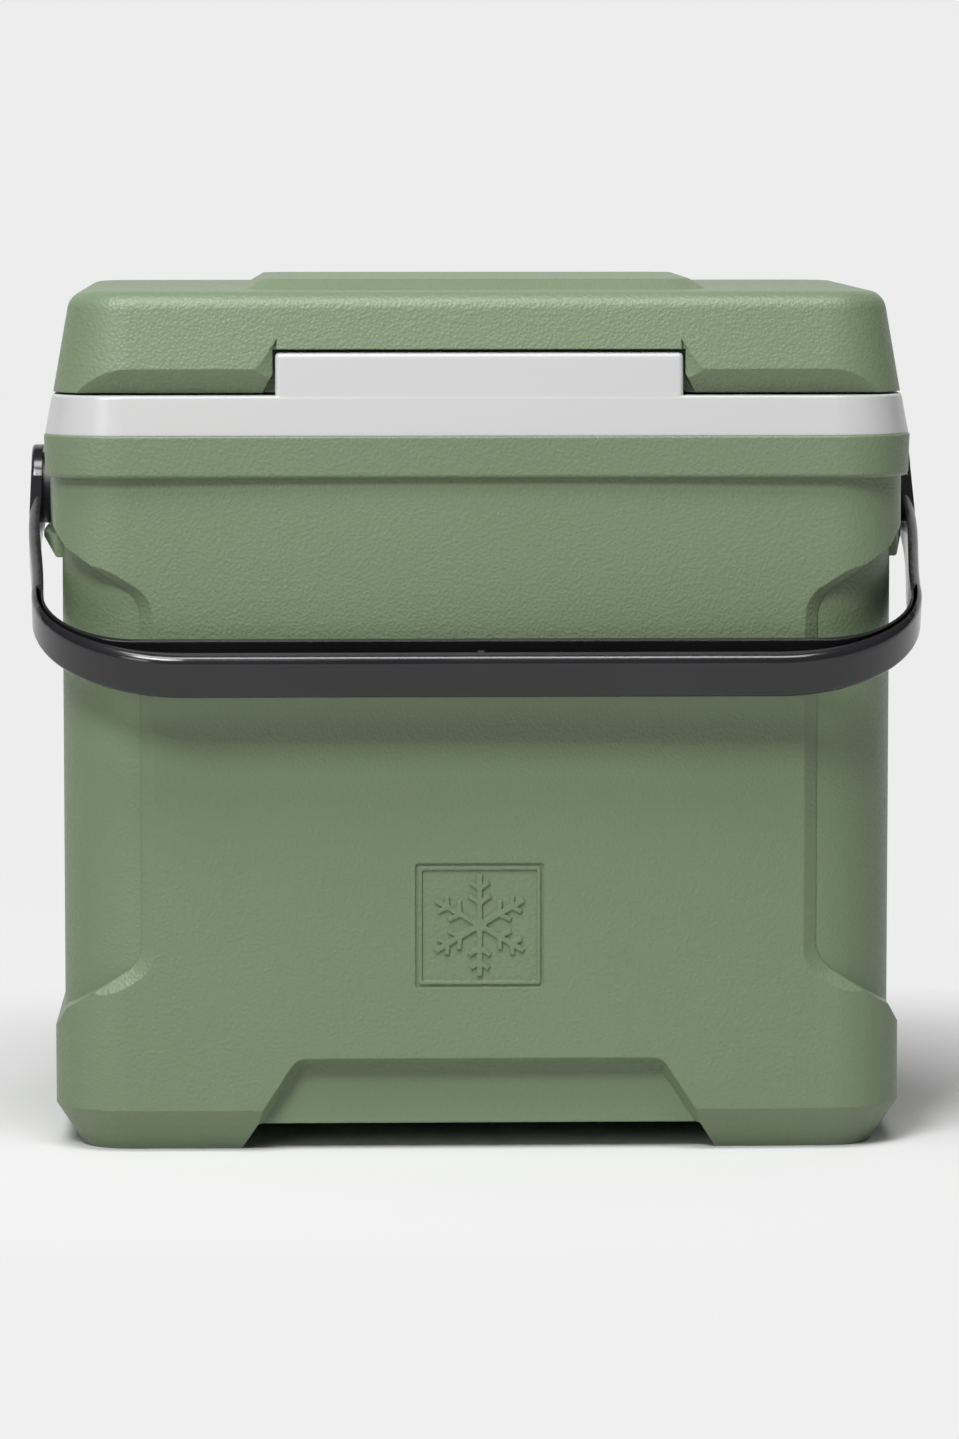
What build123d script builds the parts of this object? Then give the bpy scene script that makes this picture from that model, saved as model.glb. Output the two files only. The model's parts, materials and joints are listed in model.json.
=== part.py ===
from build123d import *
from math import cos, degrees, pi, radians, sin, tan
import os

# Hard-sided cooler chest with a hinged lid and a swinging bail handle.
# Millimetres. X is to the right, the front faces -Y, +Z is up.
# The origin is on the floor under the middle of the chest body.

# ---- outer shell -------------------------------------------------------------
BODY_HALF_X = 208.4
BODY_HALF_Y = 149.0
BODY_CROWN = 2.0
BODY_CORNER = 36.0
SHELL_WALL = 3.0
SHELL_TOP = 351.0
FLOOR_GAP = 13.2
FOOT_BEVEL = 20.7
FOOT_SLOPE = 33.5

BAND_HALF_X = 212.3
BAND_HALF_Y = 155.3
BAND_LOW = 330.4
BAND_CORNER = 39.0
BAND_DRAFT = 2.0

PILLAR_HALF_X = 204.2
PILLAR_HALF_Y = 145.6
PILLAR_CORNER = 45.0
POCKET_START = 152.0
POCKET_CORNER = 17.0
# The recess at each corner, as (x, z) points: where it meets the front face, and
# the smaller outline at the pillar's face.
POCKET_FRONT = [
    (155.5, 88.0),
    (199.5, 61.5),
    (214.0, 36.5),
    (250.0, 36.5),
    (250.0, 318.0),
    (212.0, 318.0),
    (199.0, 301.0),
    (155.5, 272.0),
]
POCKET_FLOOR = [
    (165.0, 94.0),
    (202.0, 70.0),
    (214.0, 49.0),
    (250.0, 49.0),
    (250.0, 315.0),
    (214.0, 315.0),
    (201.5, 296.5),
    (165.0, 272.0),
]

BASE_RECESS_TOP = 46.5
BASE_RECESS_HALF_TOP = 89.5
BASE_RECESS_HALF_LOW = 120.0
BASE_RECESS_DEPTH = 9.5
BASE_GAP_HALF = 116.5
BASE_GAP_BACK = 98.0
SIDE_RECESS_HALF_TOP = 52.0
SIDE_RECESS_HALF_LOW = 72.0
SIDE_RECESS_DEPTH = 7.0

BADGE_WIDTH = 62.6
BADGE_HEIGHT = 61.0
BADGE_CENTRE_Z = 112.0
BADGE_RELIEF = 0.9

# ---- liner -------------------------------------------------------------------
TUB_HALF_X = 183.0
TUB_HALF_Y = 125.0
TUB_CORNER = 34.0
TUB_FLOOR = 40.0
TUB_DRAFT = 1.4
TUB_WALL = 2.6
COLLAR_HALF_X = 211.8
COLLAR_HALF_Y = 153.8
COLLAR_TOP = 370.5
COLLAR_SLOPE = 11.0
DECK = 3.0
TONGUE_LOW = 340.0

TAB_HALF_X = 99.0
TAB_TOP = 391.4

# ---- lid ---------------------------------------------------------------------
LID_LOW = 371.6
LID_TOP = 420.6
LID_HALF_X = 207.7
LID_HALF_Y = 149.7
LID_CORNER = 37.0
LID_SLOPE = 10.0
LID_WALL = 2.8
RAISED_TOP = 425.7
RAISED_HALF_X = 115.0
RAISED_HALF_Y = 96.0
PLUG_HALF_X = 179.0
PLUG_HALF_Y = 121.0
PLUG_LOW = 358.0

# ---- hinges ------------------------------------------------------------------
HINGE_Y = 159.0
HINGE_Z = 371.4
HINGE_X = 118.0
HINGE_HALF = 25.0
LEAF_HALF = 12.5
BARREL_RADIUS = 4.6
HINGE_PIN_RADIUS = 2.0
HINGE_BORE_RADIUS = 2.06
BASE_SCREW_Z = 341.0
BASE_SCREW_X = 16.0
LEAF_SCREW_Z = 389.0
LEAF_SCREW_X = 14.0
LEAF_PLATE_HALF = 21.0

# ---- carrying handle ---------------------------------------------------------
PIVOT_Z = 318.0
PAD_FACE = 212.0
PAD_LOW = 299.0
LEDGE_OUT = 215.8
LEDGE_LOW = 289.5
ARM_INNER = 217.6
ARM_THICK = 5.6
EAR_FACE = ARM_INNER + ARM_THICK
ARM_WIDTH = 22.0
EAR_RADIUS = 22.0
ROOT_END = 46.0
HANG_ANGLE = 24.6
# Centres (x, s) and radii of the bend's outer and inner lines, and how thick the
# face and the inner rim are on each side of the channel: arm, bend, grip.
BEND_CENTRE_X = 143.0
BEND_CENTRE_S = 122.5
BEND_OUTER = 76.0
INNER_CENTRE_X = 165.0
INNER_CENTRE_S = 130.0
BEND_INNER = 48.0
FACE_THICK = (2.6, 3.6, 6.8)
RIM_THICK = (0.9, 1.5, 2.6)
UPPER_ROUND = 4.8
LOWER_ROUND = 2.4
GRIP_FACE = BEND_CENTRE_S + BEND_OUTER
GRIP_BACK = INNER_CENTRE_S + BEND_INNER
WEB_THICK = 3.2
BUSH_BORE = 7.06
BUSH_SLEEVE = 9.0
BUSH_FLANGE = 18.0
STUD_RADIUS = 7.0
STUD_SPIGOT = 4.4
SPIGOT_END = PAD_FACE - 5.0
STUD_HEAD = 10.6
STOP_RADIUS = 13.0
STOP_PIN = 2.4
SWING = 180.0 + 2.0 * HANG_ANGLE


# ---- helpers -----------------------------------------------------------------
def rounded_block(half_x, half_y, corner, low, high, slope=0.0):
    """A rounded rectangle raised from low to high, narrowing by slope degrees."""
    plan = Plane.XY.offset(low) * RectangleRounded(2 * half_x, 2 * half_y, corner)
    return extrude(plan, high - low, taper=slope)


def crowned_plan(grow=0.0):
    """The body's plan: straight ends, with front and back bowed out a little."""
    x = BODY_HALF_X + grow
    y = BODY_HALF_Y + grow
    bow = y + BODY_CROWN
    front = ThreePointArc((-x, -y), (0, -bow), (x, -y))
    right = Line((x, -y), (x, y))
    back = ThreePointArc((x, y), (0, bow), (-x, y))
    left = Line((-x, y), (-x, -y))
    plan = make_face([front, right, back, left])
    return fillet(plan.vertices(), BODY_CORNER + grow)


def crowned_block(low, high, grow=0.0, slope=0.0):
    plan = Plane.XY.offset(low) * crowned_plan(grow)
    return extrude(plan, high - low, taper=slope)


def side_profile(points, x_low, x_high):
    """A polygon of (y, z) points carried from x_low to x_high."""
    face = make_face(Polyline(*points, close=True))
    return Plane.YZ.offset(x_low) * extrude(face, x_high - x_low)


def front_profile(points, y_low, y_high):
    """A polygon of (x, z) points carried from y_low back to y_high."""
    face = make_face(Polyline(*points, close=True))
    plane = Plane((0, y_low, 0), x_dir=(1, 0, 0), z_dir=(0, -1, 0))
    return plane * extrude(face, -(y_high - y_low))


def rod_x(radius, x_low, x_high, y, z):
    plane = Plane((x_low, y, z), x_dir=(0, 1, 0), z_dir=(1, 0, 0))
    return plane * extrude(Circle(radius), x_high - x_low)


def rod_y(radius, x, y_low, y_high, z):
    plane = Plane((x, y_low, z), x_dir=(1, 0, 0), z_dir=(0, 1, 0))
    return plane * extrude(Circle(radius), y_high - y_low)


def both_sides(shape):
    return [shape, mirror(shape, Plane.YZ)]


def save(shape, name):
    shape.label = name
    export_step(shape, os.path.join("parts", name + ".step"))


# ---- outer shell -------------------------------------------------------------
def pocket_outline(points, y, grow):
    face = make_face(Polyline(*points, close=True))
    inner_corners = face.vertices().sort_by(Axis.X)[:2]
    face = fillet(inner_corners, POCKET_CORNER)
    if grow:
        face = offset(face, grow)
    return Plane((0, y, 0), x_dir=(1, 0, 0), z_dir=(0, -1, 0)) * face


def pocket_cutter(grow=0.0):
    """Right-hand corner recess, flared at front and back, through the whole side."""
    start = pocket_outline(POCKET_FRONT, -POCKET_START - grow, grow)
    floor = pocket_outline(POCKET_FLOOR, -PILLAR_HALF_Y - grow, grow)
    flare = loft([start, floor], ruled=True)
    half = flare + extrude(floor, amount=PILLAR_HALF_Y + grow, dir=(0, 1, 0))
    return half + mirror(half, Plane.XZ)


def pockets(grow=0.0):
    floor = rounded_block(
        PILLAR_HALF_X - grow, PILLAR_HALF_Y - grow, PILLAR_CORNER - grow, 20, 350
    )
    return [c - floor for c in both_sides(pocket_cutter(grow))]


def side_step(out, half, foot, low, high):
    """A block on the right side that stands out furthest in its middle."""
    plan = make_face(
        Polyline(
            (200.0, -foot),
            (207.5, -foot),
            (out, -half),
            (out, half),
            (207.5, foot),
            (200.0, foot),
            close=True,
        )
    )
    return extrude(Plane.XY.offset(low) * plan, high - low)


def pivot_pad():
    """Flat pad that carries the handle's stud, over a ledge with a sloped underside."""
    pad = side_step(PAD_FACE, 52.0, 84.0, PAD_LOW - 1.0, BAND_LOW + 2.0)
    ledge = side_step(LEDGE_OUT, 42.0, 106.0, LEDGE_LOW, PAD_LOW)
    slope = front_profile(
        [
            (199.0, LEDGE_LOW - 1.0),
            (205.0, LEDGE_LOW - 1.0),
            (LEDGE_OUT + 1.0, PAD_LOW - 2.4),
            (LEDGE_OUT + 1.0, PAD_LOW + 1.0),
            (199.0, PAD_LOW + 1.0),
        ],
        -110.0,
        110.0,
    )
    return pad + (ledge & slope)


def base_recesses():
    """Shallow trapezoid recesses between the feet on all four sides."""
    top = BASE_RECESS_TOP
    outline = make_face(
        Polyline(
            (-BASE_RECESS_HALF_TOP, top),
            (BASE_RECESS_HALF_TOP, top),
            (BASE_RECESS_HALF_LOW, 0.0),
            (BASE_RECESS_HALF_LOW, -20.0),
            (-BASE_RECESS_HALF_LOW, -20.0),
            (-BASE_RECESS_HALF_LOW, 0.0),
            close=True,
        )
    )
    outline = fillet(outline.vertices().sort_by(Axis.Y)[-2:], 9.0)
    plane = Plane((0, -BODY_HALF_Y - BODY_CROWN, 0), x_dir=(1, 0, 0), z_dir=(0, -1, 0))
    front = extrude(plane * outline, -BASE_RECESS_DEPTH, taper=24.0)
    front = front + extrude(plane * outline, 20.0)
    side = side_profile(
        [
            (-SIDE_RECESS_HALF_TOP, top),
            (SIDE_RECESS_HALF_TOP, top),
            (SIDE_RECESS_HALF_LOW, 0.0),
            (SIDE_RECESS_HALF_LOW, -5.0),
            (-SIDE_RECESS_HALF_LOW, -5.0),
            (-SIDE_RECESS_HALF_LOW, 0.0),
        ],
        BODY_HALF_X - SIDE_RECESS_DEPTH,
        230.0,
    )
    upper = side.edges().filter_by(Axis.X).sort_by(Axis.Z)[-2:]
    side = fillet(upper, 6.0)
    under = base_gap(0.0)
    return [front, mirror(front, Plane.XZ), *both_sides(side), under]


def base_gap(grow):
    """Finger gap under the floor, open to the front and closed at the back."""
    low = BASE_GAP_HALF + grow
    high = low - 8.0
    return front_profile(
        [
            (-low, -5.0),
            (-low, 0.0),
            (-high, FLOOR_GAP + grow),
            (high, FLOOR_GAP + grow),
            (low, 0.0),
            (low, -5.0),
        ],
        -170.0,
        BASE_GAP_BACK + grow,
    )


def snow_arm(turn):
    """One arm of the badge's six-armed snow crystal, as thin bars."""
    bars = [Pos(0, 12.5) * Rectangle(2.6, 25)]
    for height, reach in ((11.0, 5.5), (18.0, 4.5)):
        for side in (1, -1):
            slant = Rot(0, 0, side * -55) * Pos(0, reach / 2 + 0.4) * Rectangle(2.2, reach + 1)
            bars.append(Pos(0, height) * slant)
    return [Rot(0, 0, turn) * bar for bar in bars]


def badge_cut():
    """Sunk square with a raised border line and a raised snow crystal."""
    field = RectangleRounded(BADGE_WIDTH, BADGE_HEIGHT, 1.5)
    border = RectangleRounded(BADGE_WIDTH - 3.0, BADGE_HEIGHT - 3.0, 1.2)
    border = border - RectangleRounded(BADGE_WIDTH - 6.4, BADGE_HEIGHT - 6.4, 1.0)
    crystal = Circle(3.4)
    for step in range(6):
        for bar in snow_arm(60 * step):
            crystal = crystal + bar
    plane = Plane(
        (0, -BODY_HALF_Y - BODY_CROWN + BADGE_RELIEF, BADGE_CENTRE_Z),
        x_dir=(1, 0, 0),
        z_dir=(0, -1, 0),
    )
    return extrude(plane * (field - border - crystal), 6.0)


def shell_cavity():
    """Space inside the shell, a wall's thickness in from every outer surface."""
    core = crowned_block(FOOT_BEVEL, SHELL_TOP + 10, grow=-SHELL_WALL)
    for pocket in pockets(SHELL_WALL):
        core = core - pocket
    foot_plan = Plane.XY.offset(FOOT_BEVEL) * crowned_plan(-SHELL_WALL - 0.6)
    feet = extrude(foot_plan, SHELL_WALL - FOOT_BEVEL, taper=FOOT_SLOPE)
    core = core + feet - base_gap(SHELL_WALL)
    high = BASE_RECESS_TOP + SHELL_WALL
    inside_recess = rounded_block(
        BODY_HALF_X - SIDE_RECESS_DEPTH - SHELL_WALL,
        BODY_HALF_Y + BODY_CROWN - BASE_RECESS_DEPTH - SHELL_WALL,
        30.0,
        0.0,
        high,
    )
    return core - (rounded_block(240, 180, 20, 1.0, high) - inside_recess)


def flange_band():
    """Thick band round the shell's top, drawn in slightly towards its lower edge."""
    plan = Plane.XY.offset(SHELL_TOP) * RectangleRounded(
        2 * BAND_HALF_X, 2 * BAND_HALF_Y, BAND_CORNER
    )
    band = extrude(plan, BAND_LOW - SHELL_TOP, taper=BAND_DRAFT)
    band = fillet(band.faces().sort_by(Axis.Z)[0].edges(), 2.4)
    return chamfer(band.faces().sort_by(Axis.Z)[-1].edges(), 0.6)


def outer_shell(cavity):
    body = crowned_block(FOOT_BEVEL, BAND_LOW + 2)
    foot_plan = Plane.XY.offset(FOOT_BEVEL) * crowned_plan()
    body = body + extrude(foot_plan, -FOOT_BEVEL, taper=FOOT_SLOPE)
    for pocket in pockets():
        body = body - pocket
    for pad in both_sides(pivot_pad()):
        body = body + pad
    body = body + flange_band()
    for recess in base_recesses():
        body = body - recess
    body = body - badge_cut() - cavity
    for hole in both_sides(rod_x(4.5, 190, 230, 0, PIVOT_Z)):
        body = body - hole
    for hole in both_sides(rod_x(5.5, 200, SPIGOT_END, 0, PIVOT_Z)):
        body = body - hole
    for pin in both_sides(stop_pin()):
        body = body + pin
    for screw in base_screw_holes():
        body = body - screw
    return body


def stop_pin():
    """Short peg beside the pivot that ends the handle's travel."""
    y, z = stop_position()
    return rod_x(STOP_PIN, PAD_FACE - 2.0, PAD_FACE + 2.2, y, z)


def stop_position():
    """The peg stands straight below the pivot."""
    return 0.0, PIVOT_Z - STOP_RADIUS


# ---- liner and insulation ----------------------------------------------------
def tub_block(extra, floor, high):
    plan = Plane.XY.offset(COLLAR_TOP) * RectangleRounded(
        2 * (TUB_HALF_X + extra), 2 * (TUB_HALF_Y + extra), TUB_CORNER + extra
    )
    block = extrude(plan, -(COLLAR_TOP - floor), taper=TUB_DRAFT)
    low_edges = block.faces().sort_by(Axis.Z)[0].edges()
    block = fillet(low_edges, 14.0 + extra)
    if high > COLLAR_TOP:
        block = block + extrude(plan, high - COLLAR_TOP)
    return block


def tongue(high):
    outer = rounded_block(204.8, 146.0, 33.0, TONGUE_LOW, high)
    inner = rounded_block(202.4, 143.6, 30.6, TONGUE_LOW - 1, high + 1)
    return outer - inner


def catch_tab():
    """Upstand in the middle of the collar's front, where the lid is notched."""
    tab = side_profile(
        [
            (-153.0, 355.0),
            (-149.8, 371.0),
            (-146.6, 388.0),
            (-145.9, TAB_TOP),
            (-138.6, TAB_TOP),
            (-138.6, 368.0),
            (-146.0, 355.0),
        ],
        -TAB_HALF_X,
        TAB_HALF_X,
    )
    top_edges = tab.edges().filter_by(Axis.X).group_by(Axis.Z)[-1]
    tab = fillet(top_edges.sort_by(Axis.Y)[0], 3.2)
    uprights = tab.faces().sort_by(Axis.Z)[-1].edges().filter_by(Axis.Y)
    return fillet(uprights, 2.4)


def inner_liner():
    collar = rounded_block(
        COLLAR_HALF_X, COLLAR_HALF_Y, 38.5, SHELL_TOP, COLLAR_TOP, COLLAR_SLOPE
    )
    collar = fillet(collar.faces().sort_by(Axis.Z)[-1].edges(), 1.6)
    hollow = rounded_block(204.8, 146.6, 33.0, SHELL_TOP - 1, COLLAR_TOP - DECK)
    liner = collar - hollow
    liner = liner + tongue(COLLAR_TOP - DECK / 2)
    liner = liner + catch_tab()
    liner = liner + tub_block(TUB_WALL, TUB_FLOOR - TUB_WALL, COLLAR_TOP - 0.5)
    return liner - tub_block(0.0, TUB_FLOOR, COLLAR_TOP + 30)


def body_insulation(cavity):
    foam = cavity - rounded_block(240, 180, 20, TONGUE_LOW, SHELL_TOP + 20)
    foam = foam - tub_block(TUB_WALL, TUB_FLOOR - TUB_WALL, COLLAR_TOP)
    for hole in both_sides(rod_x(8.6, 180, 215, 0, PIVOT_Z)):
        foam = foam - hole
    for screw in base_screw_holes(3.0):
        foam = foam - screw
    return foam


# ---- lid ---------------------------------------------------------------------
def lid_outline(inset=0.0, low=LID_LOW, high=LID_TOP):
    drop = (low - LID_LOW) * tan(radians(LID_SLOPE))
    return rounded_block(
        LID_HALF_X - inset - drop,
        LID_HALF_Y - inset - drop,
        LID_CORNER - inset,
        low,
        high,
        LID_SLOPE,
    )


def raised_panel():
    panel = rounded_block(RAISED_HALF_X, RAISED_HALF_Y, 22, LID_TOP - 3, LID_TOP)
    slope = Plane.XY.offset(LID_TOP - 0.1) * RectangleRounded(
        2 * RAISED_HALF_X, 2 * RAISED_HALF_Y, 22
    )
    return panel + extrude(slope, RAISED_TOP - LID_TOP + 0.1, taper=60.0)


def tab_notch(grow=0.0):
    """Clearance for the catch tab, flared at its lower corners."""
    inner = TAB_HALF_X + 1.2 + grow
    low = LID_LOW - 20
    return front_profile(
        [
            (-inner - 5.0, low),
            (-inner - 5.0, LID_LOW),
            (-inner, LID_LOW + 9.5),
            (-inner, TAB_TOP + 1.4 + grow),
            (inner, TAB_TOP + 1.4 + grow),
            (inner, LID_LOW + 9.5),
            (inner + 5.0, LID_LOW),
            (inner + 5.0, low),
        ],
        -170.0,
        -137.2 + grow,
    )


def finger_bevel():
    """Undercut along the lid's lower front edge, fading out towards the corners."""
    high = LID_LOW + 12.0
    wedge = side_profile(
        [(-165.0, high + 6), (-147.9, high), (-139.5, LID_LOW - 1), (-165, LID_LOW - 1)],
        -205,
        205,
    )
    ends = front_profile(
        [(-199, LID_LOW - 2), (-176, high + 8), (176, high + 8), (199, LID_LOW - 2)],
        -175,
        -120,
    )
    return wedge & ends


def notch_flare():
    """Shallow facet on each side of the notch, deepest at the notch's edge."""
    edge = TAB_HALF_X + 1.2
    face_y = -LID_HALF_Y - 0.6
    facet = Polyline(
        (edge - 2, face_y, 398.0),
        (edge + 6.5, face_y, 392.6),
        (edge + 17.0, face_y, 381.5),
        (edge + 17.0, face_y, 370.0),
        (edge - 2, face_y, 370.0),
        close=True,
    )
    tip = Polyline(
        (edge - 2, face_y + 6.5, 398.0),
        (edge - 1, face_y + 6.5, 392.6),
        (edge - 1, face_y + 6.5, 381.5),
        (edge - 1, face_y + 6.5, 370.0),
        (edge - 2, face_y + 6.5, 370.0),
        close=True,
    )
    return loft([make_face(facet), make_face(tip)], ruled=True)


def lid_cover():
    cover = lid_outline()
    cover = fillet(cover.faces().sort_by(Axis.Z)[-1].edges(), 10.0)
    cover = cover + raised_panel()
    cover = cover - lid_cavity()
    cover = cover - tab_notch() - finger_bevel()
    for flare in both_sides(notch_flare()):
        cover = cover - flare
    for hole in leaf_screw_holes():
        cover = cover - hole
    return cover


def lid_cavity():
    hollow = lid_outline(LID_WALL + 0.4, LID_LOW - 0.01, LID_TOP - LID_WALL)
    hollow = fillet(hollow.faces().sort_by(Axis.Z)[-1].edges(), 7.0)
    front_keep = side_profile(
        [(-170, 360), (-134.0, 360), (-134.0, 396.0), (-136.0, 398), (-170, 398)],
        -230,
        230,
    )
    return hollow - front_keep


def lid_liner():
    """White inner panel: a flange inside the cover's skirt and a plug in the tub."""
    flange = lid_outline(LID_WALL + 0.6, LID_LOW, LID_LOW + 2.6)
    front_strip = side_profile(
        [(-170, 360), (-133.8, 360), (-133.8, 390), (-170, 390)], -230, 230
    )
    flange = flange - front_strip
    plug = rounded_block(PLUG_HALF_X, PLUG_HALF_Y, 30, PLUG_LOW, LID_LOW + 2.6)
    plug = fillet(plug.faces().sort_by(Axis.Z)[0].edges(), 5.0)
    hollow = rounded_block(
        PLUG_HALF_X - 2.6, PLUG_HALF_Y - 2.6, 27.4, PLUG_LOW + 2.6, LID_LOW + 9
    )
    return flange + plug - hollow


def lid_insulation():
    foam = lid_cavity() - rounded_block(240, 180, 20, LID_LOW - 5, LID_LOW + 2.6)
    plug = rounded_block(
        PLUG_HALF_X - 2.8, PLUG_HALF_Y - 2.8, 27.2, PLUG_LOW + 2.8, LID_LOW + 2.8
    )
    foam = foam + plug
    for hole in leaf_screw_holes(0.6):
        foam = foam - hole
    return foam


# ---- hinges ------------------------------------------------------------------
def pan_screw(x, z, seat_y, shank, radius=1.6, head=3.6):
    """A pan-head screw driven forwards, with a cross recess in its head."""
    screw = rod_y(head, x, seat_y, seat_y + 2.2, z)
    screw = fillet(screw.edges().sort_by(Axis.Y)[-1], 0.9)
    screw = screw + rod_y(radius, x, seat_y - shank, seat_y + 0.2, z)
    slot = Box(4.0, 1.6, 0.9) + Box(0.9, 1.6, 4.0)
    return screw - Pos(x, seat_y + 2.0, z) * slot


def hinge_base(x):
    """Lower strap: plate on the band's back with two outer knuckles."""
    strap = side_profile(
        [
            (BAND_HALF_Y, 335.0),
            (BAND_HALF_Y + 3.0, 335.0),
            (BAND_HALF_Y + 3.0, 352.0),
            (HINGE_Y + BARREL_RADIUS, HINGE_Z),
            (BAND_HALF_Y + 0.4, HINGE_Z),
            (BAND_HALF_Y, 352.0),
        ],
        x - HINGE_HALF,
        x + HINGE_HALF,
    )
    strap = strap + rod_x(
        BARREL_RADIUS, x - HINGE_HALF, x + HINGE_HALF, HINGE_Y, HINGE_Z
    )
    slot = Pos(x, HINGE_Y, HINGE_Z + 2) * Box(2 * LEAF_HALF + 0.8, 22, 20)
    strap = strap - slot
    strap = strap - rod_x(HINGE_PIN_RADIUS, x - 30, x + 30, HINGE_Y, HINGE_Z)
    for side in (-1, 1):
        strap = strap - rod_y(1.7, x + side * BASE_SCREW_X, 150, 165, BASE_SCREW_Z)
    return strap


def lid_back_y(z):
    """Where the lid's sloped back face is at height z."""
    return LID_HALF_Y - (z - LID_LOW) * tan(radians(LID_SLOPE))


def hinge_leaf(x):
    """Upper strap: plate lying on the lid's back with the middle knuckle."""
    low = 376.0
    high = 400.0
    plate = side_profile(
        [
            (lid_back_y(low), low),
            (lid_back_y(low) + 3.2, low),
            (lid_back_y(high) + 3.2, high),
            (lid_back_y(high), high),
        ],
        x - LEAF_PLATE_HALF,
        x + LEAF_PLATE_HALF,
    )
    neck = side_profile(
        [
            (lid_back_y(low), low),
            (lid_back_y(384) + 3.0, 384.0),
            (HINGE_Y + 2.4, HINGE_Z + 3.8),
            (HINGE_Y - 1.0, HINGE_Z - 2.0),
            (HINGE_Y - 5.0, HINGE_Z + 1.2),
            (lid_back_y(low) + 1.4, LID_LOW + 2.0),
            (lid_back_y(372.8) + 0.05, 373.2),
        ],
        x - LEAF_HALF,
        x + LEAF_HALF,
    )
    leaf = plate + neck
    leaf = leaf + rod_x(BARREL_RADIUS, x - LEAF_HALF, x + LEAF_HALF, HINGE_Y, HINGE_Z)
    leaf = leaf - rod_x(HINGE_BORE_RADIUS, x - 30, x + 30, HINGE_Y, HINGE_Z)
    for side in (-1, 1):
        leaf = leaf - rod_y(1.7, x + side * LEAF_SCREW_X, 140, 165, LEAF_SCREW_Z)
    return leaf


def hinge_pin(x):
    half = HINGE_HALF + 0.4
    pin = rod_x(HINGE_PIN_RADIUS, x - half, x + half, HINGE_Y, HINGE_Z)
    return chamfer(pin.edges().filter_by(GeomType.CIRCLE), 0.35)


def base_screws(x):
    seat = BAND_HALF_Y + 3.0
    places = (x - BASE_SCREW_X, x + BASE_SCREW_X)
    return [pan_screw(place, BASE_SCREW_Z, seat, 10.0) for place in places]


def leaf_screws(x):
    seat = lid_back_y(LEAF_SCREW_Z) + 3.9
    places = (x - LEAF_SCREW_X, x + LEAF_SCREW_X)
    return [pan_screw(place, LEAF_SCREW_Z, seat, 13.0) for place in places]


def base_screw_holes(extra=0.0):
    holes = []
    for x in (-HINGE_X, HINGE_X):
        for side in (-1, 1):
            place = x + side * BASE_SCREW_X
            holes.append(rod_y(1.6 + extra, place, 147.0 - extra, 170, BASE_SCREW_Z))
    return holes


def leaf_screw_holes(extra=0.0):
    holes = []
    for x in (-HINGE_X, HINGE_X):
        for side in (-1, 1):
            place = x + side * LEAF_SCREW_X
            holes.append(rod_y(1.6 + extra, place, 134.0 - extra, 170, LEAF_SCREW_Z))
    return holes


# ---- carrying handle ---------------------------------------------------------
# The bail is drawn flat, with s running from the pivots to the grip and n across
# its width, and is then turned to hang below level in front of the body.
def bail_place(shape):
    """Take a flat bail drawing (x, s, n) to where it hangs at rest."""
    return Pos(0, 0, PIVOT_Z) * Rot(HANG_ANGLE, 0, 0) * shape


def bend_line(centre_x, centre_s, reach, insets=None):
    """A line round the right bend; insets at the arm, the middle and the grip."""
    arm, middle, grip = insets or (0.0, 0.0, 0.0)
    half = (reach - middle) * sin(pi / 4)
    start = (centre_x + reach - arm, centre_s)
    centre = (centre_x + half, centre_s + half)
    end = (centre_x, centre_s + reach - grip)
    if insets is None:
        return ThreePointArc(start, centre, end)
    return Spline(start, centre, end, tangents=[(0, 1), (-1, 0)])


def bail_outline():
    """Half of the flat U, right of centre."""
    outer = bend_line(BEND_CENTRE_X, BEND_CENTRE_S, BEND_OUTER)
    inner = bend_line(INNER_CENTRE_X, INNER_CENTRE_S, BEND_INNER)
    edges = [
        Line((EAR_FACE, 0), (EAR_FACE, ROOT_END)),
        Spline((EAR_FACE, ROOT_END), outer @ 0, tangents=[(0, 1), (0, 1)]),
        outer,
        Line(outer @ 1, (0, GRIP_FACE)),
        Line((0, GRIP_FACE), (0, GRIP_BACK)),
        Line((0, GRIP_BACK), inner @ 1),
        inner,
        Spline((ARM_INNER, ROOT_END), inner @ 0, tangents=[(0, 1), (0, 1)]),
        Line((ARM_INNER, ROOT_END), (ARM_INNER, 0)),
        Line((ARM_INNER, 0), (EAR_FACE, 0)),
    ]
    return make_face(edges)


def flat_to_bail(face, n_low, n_high):
    """Raise a flat (x, s) face from n_low to n_high; s points forwards."""
    solid = extrude(Plane.XY.offset(n_low) * face, n_high - n_low)
    return mirror(solid, Plane.XZ)


def on_outer_face(edge):
    """True for an edge that runs along the bail's outer face."""
    point = edge @ 0.5
    x = abs(point.X)
    s = -point.Y
    if abs(abs(point.Z) - ARM_WIDTH / 2) > 0.01 or abs((edge @ 0).Z - point.Z) > 0.01:
        return False
    if s > BEND_CENTRE_S + 0.1 and x > BEND_CENTRE_X + 0.1:
        reach = ((x - BEND_CENTRE_X) ** 2 + (s - BEND_CENTRE_S) ** 2) ** 0.5
        return reach > BEND_OUTER - 0.5
    if x > BEND_CENTRE_X:
        return x > BEND_CENTRE_X + BEND_OUTER - 1.0 and s > 1
    return s > BEND_CENTRE_S + BEND_OUTER - 0.5


def plain_bail():
    """The whole U with its long outer edges rounded, before it is hollowed."""
    wide = ARM_WIDTH / 2
    half = flat_to_bail(bail_outline(), -wide, wide)
    bail = half + mirror(half, Plane.YZ)
    upper = [e for e in bail.edges() if on_outer_face(e) and (e @ 0.5).Z > 0]
    bail = fillet(upper, UPPER_ROUND)
    lower = [e for e in bail.edges() if on_outer_face(e) and (e @ 0.5).Z < 0]
    return fillet(lower, LOWER_ROUND)


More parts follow.
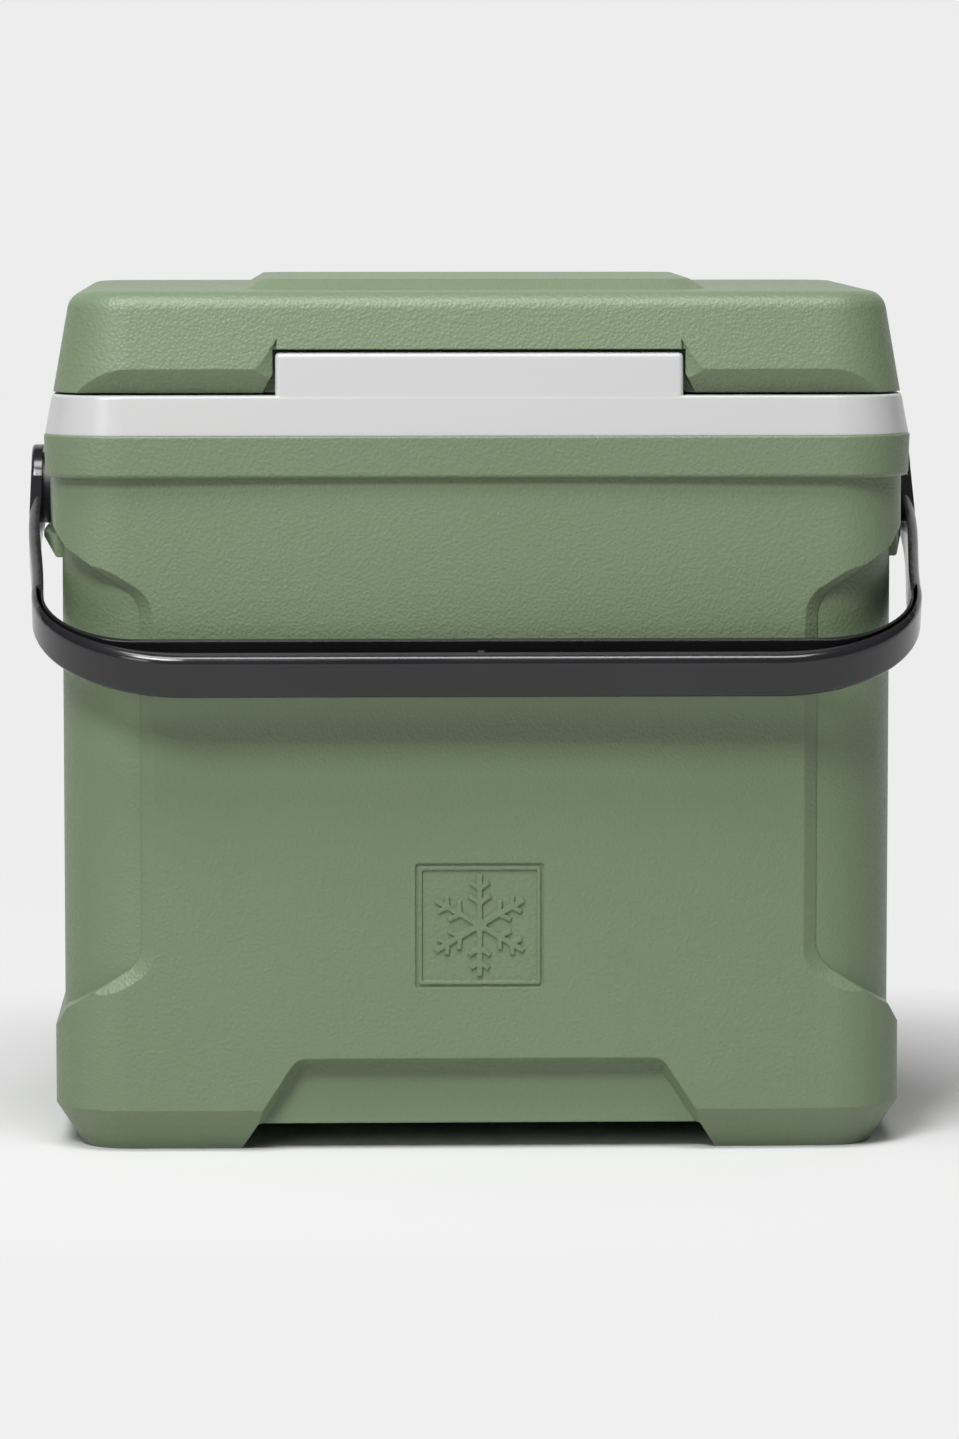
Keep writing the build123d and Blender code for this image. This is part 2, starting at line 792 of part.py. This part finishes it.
def grip_groove():
    """The hollow between the grip's face and its inner rim, out to the arms."""
    face = bend_line(BEND_CENTRE_X, BEND_CENTRE_S, BEND_OUTER, FACE_THICK)
    rim_insets = [-thick for thick in RIM_THICK]
    rim = bend_line(INNER_CENTRE_X, INNER_CENTRE_S, BEND_INNER, rim_insets)
    high = GRIP_FACE - FACE_THICK[2]
    low = GRIP_BACK + RIM_THICK[2]
    edges = [
        face,
        Line(face @ 1, (-0.1, high)),
        Line((-0.1, high), (-0.1, low)),
        Line((-0.1, low), rim @ 1),
        rim,
        Line(rim @ 0, face @ 0),
    ]
    return make_face(edges)


def ear():
    """The arm's round end, and the root that narrows from it into the arm."""
    disc = rod_x(EAR_RADIUS, ARM_INNER, EAR_FACE, 0, 0)
    disc = fillet(disc.edges().sort_by(Axis.X)[-1], 1.8)
    root = side_profile(
        [
            (0, -EAR_RADIUS + 1.8),
            (0, EAR_RADIUS - 1.8),
            (-ROOT_END, ARM_WIDTH / 2 - UPPER_ROUND - 0.3),
            (-ROOT_END, -ARM_WIDTH / 2 + LOWER_ROUND + 0.3),
        ],
        ARM_INNER,
        EAR_FACE,
    )
    return disc + root


def grip_ribs():
    """Cross ribs that stiffen the grip's channels, with a mould nub at centre."""
    ribs = []
    low = GRIP_BACK + 1
    high = GRIP_FACE - 2
    for step in range(-5, 6):
        x = step * 30.0
        rib = Pos(x, -(low + high) / 2, -5.1) * Box(1.6, high - low, 10.2)
        ribs.append(rib)
    nub = Pos(0, -(high - 6.2), 5.2) * Box(3.2, 3.4, 10.4)
    ribs.append(nub)
    return ribs


def carry_handle():
    handle = plain_bail()
    wide = ARM_WIDTH / 2
    groove = grip_groove()
    for low, high in ((WEB_THICK / 2, wide + 1), (-wide - 1, -WEB_THICK / 2)):
        cut = flat_to_bail(groove, low, high)
        handle = handle - cut - mirror(cut, Plane.YZ)
    for end in both_sides(ear()):
        handle = handle + end
    for rib in grip_ribs():
        handle = handle + rib
    for hole in both_sides(rod_x(BUSH_SLEEVE, 200, 240, 0, 0)):
        handle = handle - hole
    for sink in both_sides(rod_x(11.2, EAR_FACE - 2.2, 240, 0, 0)):
        handle = handle - sink
    return bail_place(handle)


def handle_bush():
    """Plain bush with a wide flange; a blind arc slot in it takes the stop peg."""
    flange = rod_x(BUSH_FLANGE, PAD_FACE + 0.3, ARM_INNER, 0, 0)
    sleeve = rod_x(BUSH_SLEEVE, ARM_INNER - 1, EAR_FACE - 2.3, 0, 0)
    bush = flange + sleeve - rod_x(BUSH_BORE, 200, 240, 0, 0)
    reach = STOP_PIN + 0.3
    ring = rod_x(STOP_RADIUS + reach, 210, PAD_FACE + 2.8, 0, 0)
    ring = ring - rod_x(STOP_RADIUS - reach, 200, 230, 0, 0)
    margin = degrees(reach / STOP_RADIUS)
    # At rest the peg, straight below the pivot, is at the slot's first end.
    start = 270.0 - margin
    end = 270.0 + SWING + margin
    steps = 24
    points = [(0.0, 0.0)]
    for i in range(steps + 1):
        a = radians(start + (end - start) * i / steps)
        points.append((40 * cos(a), 40 * sin(a)))
    fan = side_profile(points, 205, 235)
    bush = bush - (ring & fan)
    return Pos(0, 0, PIVOT_Z) * bush


def pivot_stud():
    stud = rod_x(STUD_RADIUS, PAD_FACE, EAR_FACE - 1.8, 0, PIVOT_Z)
    stud = stud + rod_x(STUD_SPIGOT, SPIGOT_END, PAD_FACE + 1, 0, PIVOT_Z)
    head = rod_x(STUD_HEAD, EAR_FACE - 1.9, EAR_FACE - 0.1, 0, PIVOT_Z)
    head = chamfer(head.edges().sort_by(Axis.X)[-1], 0.5)
    stud = stud + head
    stud = stud - rod_x(4.9, EAR_FACE - 4.0, 230, 0, PIVOT_Z)
    return stud - rod_x(2.5, 200, 230, 0, PIVOT_Z)


def pivot_screw():
    screw = rod_x(4.6, EAR_FACE - 4.0, EAR_FACE - 0.8, 0, PIVOT_Z)
    screw = fillet(screw.edges().sort_by(Axis.X)[-1], 1.0)
    screw = screw + rod_x(2.2, 199.6, EAR_FACE - 3.8, 0, PIVOT_Z)
    slot = Box(2.4, 5.0, 1.1) + Box(2.4, 1.1, 5.0)
    return screw - Pos(EAR_FACE - 1.0, 0, PIVOT_Z) * slot


def pivot_anchor():
    anchor = rod_x(5.4, 199.4, SPIGOT_END - 0.1, 0, PIVOT_Z)
    anchor = anchor + rod_x(8.0, 197.4, 199.6, 0, PIVOT_Z)
    return anchor - rod_x(2.25, 190, 215, 0, PIVOT_Z)


# ---- write every piece -------------------------------------------------------
def save_pair(shape, name):
    save(shape, name + "_right")
    save(mirror(shape, Plane.YZ), name + "_left")


def main():
    os.makedirs("parts", exist_ok=True)
    cavity = shell_cavity()
    save(outer_shell(cavity), "outer_shell")
    save(body_insulation(cavity), "body_insulation")
    save(inner_liner(), "inner_liner")
    save(lid_cover(), "lid_cover")
    save(lid_insulation(), "lid_insulation")
    save(lid_liner(), "lid_liner")
    save_pair(hinge_base(HINGE_X), "hinge_base")
    save_pair(hinge_leaf(HINGE_X), "hinge_leaf")
    save_pair(hinge_pin(HINGE_X), "hinge_pin")
    save_pair(Compound(children=base_screws(HINGE_X)), "base_screws")
    save_pair(Compound(children=leaf_screws(HINGE_X)), "leaf_screws")
    save(carry_handle(), "carry_handle")
    save_pair(handle_bush(), "handle_bush")
    save_pair(pivot_stud(), "pivot_stud")
    save_pair(pivot_screw(), "pivot_screw")
    save_pair(pivot_anchor(), "pivot_anchor")


main()
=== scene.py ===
import bpy
import json
from math import cos, radians, sin
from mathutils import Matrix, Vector

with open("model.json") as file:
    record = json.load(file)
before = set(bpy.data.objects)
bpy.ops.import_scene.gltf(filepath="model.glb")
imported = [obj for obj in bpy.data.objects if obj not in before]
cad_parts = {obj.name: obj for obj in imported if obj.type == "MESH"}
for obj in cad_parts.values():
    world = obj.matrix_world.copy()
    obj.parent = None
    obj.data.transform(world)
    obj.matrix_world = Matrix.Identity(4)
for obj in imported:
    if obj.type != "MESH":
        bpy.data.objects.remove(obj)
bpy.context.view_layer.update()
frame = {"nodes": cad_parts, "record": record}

# ---- camera: a long-lens front view from slightly above ------------------------
TARGET = Vector((0.0044, 0.0, 0.1985))
DISTANCE = 3.0
ELEVATION = radians(5.5)
TURN = radians(-1.7)
LENS = 146.4
SENSOR_WIDTH = 36.0

# ---- lights: name, place, aim, width, height, watts ----------------------------
LAMPS = (
    ("key", (-0.9, -2.1, 2.5), (0.0, 0.0, 0.25), 1.0, 0.8, 78.0),
    ("top", (-0.1, -1.0, 2.8), (0.0, 0.0, 0.2), 2.0, 0.8, 64.0),
    ("left", (-1.75, -2.7, 1.0), (0.0, 0.0, 0.30), 0.8, 0.8, 12.0),
)
SKY = (0.95, 0.97, 1.0)
SKY_STRENGTH = 0.04

# ---- backdrop: a flat floor that bends up into a wall --------------------------
FLOOR_FRONT = -4.0
WALL_PLACE = 5.0
WALL_TOP = 6.0
WALL_BEND = 1.6
BEND_STEPS = 12
HALF_WIDTH = 7.0

# The floor is lit by the lamps out to GLOW_START from the origin, and by itself
# beyond GLOW_END. GLOW_SHAPE stretches that circle sideways, to suit a wide object.
GLOW_START = 0.17
GLOW_END = 0.46
GLOW_SHAPE = (0.72, 1.0, 1.0)
BACKDROP_GLOW = 0.83

# ---- colours, linear -----------------------------------------------------------
GREEN = (0.136, 0.190, 0.108)
GREEN_PALE = (0.144, 0.199, 0.116)
WHITE = (0.445, 0.446, 0.448)
WHITE_WARM = (0.443, 0.442, 0.440)
BLACK = (0.0125, 0.0118, 0.0135)
BLACK_SOFT = (0.018, 0.017, 0.019)
STEEL = (0.560, 0.560, 0.550)
BRASS = (0.580, 0.420, 0.160)
FOAM = (0.720, 0.620, 0.420)
FOAM_DEEP = (0.600, 0.500, 0.320)
FLOOR_NEAR = (0.64, 0.64, 0.64)
FLOOR_FAR = (0.03, 0.03, 0.03)
GLOW_COLOUR = (1.0, 1.0, 1.0)
METAL_SHADE = 0.82

# Most of a noise texture's values lie between these two.
NOISE_LOW = 0.3
NOISE_HIGH = 0.7

# A Mix node has a socket for each kind of value, and these are its colour sockets.
MIX_FACTOR = 0
MIX_A = 6
MIX_B = 7
MIX_RESULT = 2


# ---- node helpers --------------------------------------------------------------
class Tree:
    """A new material with its shader, and short calls to add and link nodes."""

    def __init__(self, name):
        self.material = bpy.data.materials.new(name)
        self.material.use_nodes = True
        self.tree = self.material.node_tree
        self.shader = self.tree.nodes["Principled BSDF"]
        self.place = self.add("ShaderNodeTexCoord").outputs["Object"]

    def add(self, kind, sockets=None, **settings):
        """A new node with its settings and the values of its unlinked sockets."""
        node = self.tree.nodes.new(kind)
        for key, value in settings.items():
            setattr(node, key, value)
        for key, value in (sockets or {}).items():
            node.inputs[key].default_value = value
        return node

    def link(self, source, target):
        self.tree.links.new(source, target)

    def set(self, key, value):
        """One value for the whole surface, on the shader's own socket."""
        self.shader.inputs[key].default_value = value

    def stretch(self, scale):
        node = self.add("ShaderNodeMapping", {"Scale": scale})
        self.link(self.place, node.inputs["Vector"])
        return node.outputs["Vector"]

    def noise(self, scale, detail=2.0, roughness=0.5, vector=None):
        sockets = {"Scale": scale, "Detail": detail, "Roughness": roughness}
        node = self.add("ShaderNodeTexNoise", sockets)
        self.link(vector or self.place, node.inputs["Vector"])
        return node.outputs["Fac"]

    def cells(self, scale, smooth=0.6):
        sockets = {"Scale": scale, "Smoothness": smooth}
        node = self.add("ShaderNodeTexVoronoi", sockets, feature="SMOOTH_F1")
        self.link(self.place, node.inputs["Vector"])
        return node.outputs["Distance"]

    def remap(self, source, low=0.0, high=1.0, from_low=NOISE_LOW, from_high=NOISE_HIGH):
        node = self.add("ShaderNodeMapRange", {
            "From Min": from_low, "From Max": from_high, "To Min": low, "To Max": high,
        })
        self.link(source, node.inputs["Value"])
        return node.outputs["Result"]

    def mix(self, factor, colour_a, colour_b):
        sockets = {MIX_A: (*colour_a, 1.0), MIX_B: (*colour_b, 1.0)}
        node = self.add("ShaderNodeMix", data_type="RGBA")
        for key, value in sockets.items():
            node.inputs[key].default_value = value
        self.link(factor, node.inputs[MIX_FACTOR])
        return node.outputs[MIX_RESULT]

    def bump(self, height, distance, strength, normal=None):
        node = self.add("ShaderNodeBump", {"Strength": strength, "Distance": distance})
        self.link(height, node.inputs["Height"])
        if normal is not None:
            self.link(normal, node.inputs["Normal"])
        return node.outputs["Normal"]

    def soft_edges(self, radius):
        node = self.add("ShaderNodeBevel", {"Radius": radius}, samples=4)
        return node.outputs["Normal"]

    def finish(self, colour, rough, normal=None):
        self.link(colour, self.shader.inputs["Base Color"])
        self.link(rough, self.shader.inputs["Roughness"])
        if normal is not None:
            self.link(normal, self.shader.inputs["Normal"])
        return self.material


# ---- materials -----------------------------------------------------------------
def pebbled_green(name):
    """Moulded green plastic with a fine leathery grain and a soft sheen."""
    t = Tree(name)
    drift = t.remap(t.noise(scale=7.0, detail=3.0))
    colour = t.mix(drift, GREEN, GREEN_PALE)
    rough = t.remap(t.noise(scale=420.0), low=0.40, high=0.52)
    pebbles = t.bump(
        t.cells(scale=620.0, smooth=0.5), 0.00030, strength=0.75,
        normal=t.soft_edges(radius=0.0010),
    )
    fine = t.noise(scale=1200.0, detail=3.0, roughness=0.6)
    grain = t.bump(fine, 0.00018, strength=0.7, normal=pebbles)
    return t.finish(colour, rough, grain)


def satin_white(name):
    """Smooth white plastic, with the slight flow marks of a large moulding."""
    t = Tree(name)
    drift = t.remap(t.noise(scale=5.0))
    colour = t.mix(drift, WHITE, WHITE_WARM)
    rough = t.remap(t.noise(scale=30.0), low=0.285, high=0.305)
    return t.finish(colour, rough, t.soft_edges(radius=0.0012))


def gloss_black(name):
    """Glossy black moulded plastic with faint handling marks."""
    t = Tree(name)
    drift = t.remap(t.noise(scale=12.0))
    colour = t.mix(drift, BLACK, BLACK_SOFT)
    along = t.stretch((0.25, 1.0, 1.0))
    marks = t.noise(scale=90.0, detail=5.0, roughness=0.65, vector=along)
    rough = t.remap(marks, low=0.13, high=0.20)
    edge = t.soft_edges(radius=0.0009)
    flow = t.bump(t.noise(scale=40.0), 0.00012, strength=0.3, normal=edge)
    return t.finish(colour, rough, flow)


def satin_black(name):
    """Black plastic with a fine spark-eroded texture."""
    t = Tree(name)
    colour = t.mix(t.remap(t.noise(scale=20.0)), BLACK, BLACK_SOFT)
    rough = t.remap(t.noise(scale=500.0), low=0.36, high=0.50)
    edge = t.soft_edges(radius=0.0005)
    grain = t.bump(t.noise(scale=1900.0), 0.00006, strength=0.5, normal=edge)
    return t.finish(colour, rough, grain)


def bare_metal(name, colour, low=0.26, high=0.42):
    """Plated or turned metal with fine turning lines, low to high in roughness."""
    t = Tree(name)
    t.set("Metallic", 1.0)
    darker = tuple(c * METAL_SHADE for c in colour)
    tint = t.mix(t.remap(t.noise(scale=300.0)), colour, darker)
    around = t.stretch((1.0, 0.15, 1.0))
    lines = t.noise(scale=700.0, detail=4.0, roughness=0.6, vector=around)
    rough = t.remap(lines, low, high)
    edge = t.soft_edges(radius=0.0003)
    return t.finish(tint, rough, t.bump(lines, 0.00003, strength=0.5, normal=edge))


def cellular_foam(name):
    """Pale closed-cell foam."""
    t = Tree(name)
    colour = t.mix(t.cells(scale=350.0), FOAM, FOAM_DEEP)
    rough = t.remap(t.noise(scale=200.0), low=0.8, high=0.95)
    return t.finish(colour, rough, t.bump(t.cells(scale=420.0), 0.0006, strength=0.7))


def plain_floor(name):
    """Matt white near the object, turning into an evenly lit backdrop further out."""
    t = Tree(name)
    reach = t.add("ShaderNodeVectorMath", operation="LENGTH")
    t.link(t.stretch(GLOW_SHAPE), reach.inputs[0])
    away = t.remap(reach.outputs["Value"], 0.0, 1.0, GLOW_START, GLOW_END)
    glow = t.remap(reach.outputs["Value"], 0.0, BACKDROP_GLOW, GLOW_START, GLOW_END)
    colour = t.mix(away, FLOOR_NEAR, FLOOR_FAR)
    t.set("Emission Color", (*GLOW_COLOUR, 1.0))
    t.set("Specular IOR Level", 0.0)
    t.link(glow, t.shader.inputs["Emission Strength"])
    return t.finish(colour, t.remap(t.noise(scale=9.0), low=0.85, high=0.95))


FINISHES = {
    "green_shell": pebbled_green("green_shell"),
    "green_lid": pebbled_green("green_lid"),
    "white_liner": satin_white("white_liner"),
    "foam": cellular_foam("foam"),
    "black_handle": gloss_black("black_handle"),
    "black_bush": satin_black("black_bush"),
    "black_stud": satin_black("black_stud"),
    "hinge_black": satin_black("hinge_black"),
    "steel_pin": bare_metal("steel_pin", STEEL),
    "steel_screw": bare_metal("steel_screw", STEEL, low=0.3, high=0.48),
    "brass_anchor": bare_metal("brass_anchor", BRASS),
}

for part in frame["record"]["subparts"]:
    node = frame["nodes"][part["node"]]
    finish = FINISHES[part["material_slot"]]
    if not node.material_slots:
        node.data.materials.append(finish)
    for holder in node.material_slots:
        holder.material = finish


# ---- floor, light and camera ---------------------------------------------------
def aim(holder, toward):
    """Turn a lamp or camera, which looks along its own -Z, to look along toward."""
    holder.rotation_mode = "QUATERNION"
    holder.rotation_quaternion = toward.to_track_quat("-Z", "Y")
    bpy.context.scene.collection.objects.link(holder)


def backdrop():
    """A pale floor that curves up into a wall well behind the object."""
    rows = [(FLOOR_FRONT, 0.0), (WALL_PLACE - WALL_BEND, 0.0)]
    for step in range(1, BEND_STEPS + 1):
        a = radians(90.0 * step / BEND_STEPS)
        rows.append((WALL_PLACE - WALL_BEND + WALL_BEND * sin(a), WALL_BEND - WALL_BEND * cos(a)))
    rows.append((WALL_PLACE, WALL_TOP))
    points = [(x, y, z) for y, z in rows for x in (-HALF_WIDTH, HALF_WIDTH)]
    faces = [(2 * i, 2 * i + 1, 2 * i + 3, 2 * i + 2) for i in range(len(rows) - 1)]
    mesh = bpy.data.meshes.new("backdrop")
    mesh.from_pydata(points, [], faces)
    for face in mesh.polygons:
        face.use_smooth = True
    sweep = bpy.data.objects.new("backdrop", mesh)
    sweep.data.materials.append(plain_floor("floor_white"))
    bpy.context.scene.collection.objects.link(sweep)


def area_light(name, place, target, width, height, watts):
    lamp = bpy.data.lights.new(name, "AREA")
    lamp.shape = "RECTANGLE"
    lamp.size = width
    lamp.size_y = height
    lamp.energy = watts
    holder = bpy.data.objects.new(name, lamp)
    holder.location = place
    aim(holder, Vector(target) - Vector(place))


def studio():
    """The lamps, and a faint even light from all round."""
    for lamp in LAMPS:
        area_light(*lamp)
    world = bpy.data.worlds.new("studio")
    world.use_nodes = True
    sky = world.node_tree.nodes["Background"]
    sky.inputs["Color"].default_value = (*SKY, 1.0)
    sky.inputs["Strength"].default_value = SKY_STRENGTH
    bpy.context.scene.world = world


def camera():
    back = Vector(
        (sin(TURN) * cos(ELEVATION), -cos(TURN) * cos(ELEVATION), sin(ELEVATION))
    )
    lens = bpy.data.cameras.new("camera")
    lens.lens = LENS
    lens.sensor_width = SENSOR_WIDTH
    holder = bpy.data.objects.new("camera", lens)
    holder.location = TARGET + back * DISTANCE
    aim(holder, -back)
    bpy.context.scene.camera = holder


backdrop()
studio()
camera()
bpy.context.scene.view_settings.view_transform = "Standard"
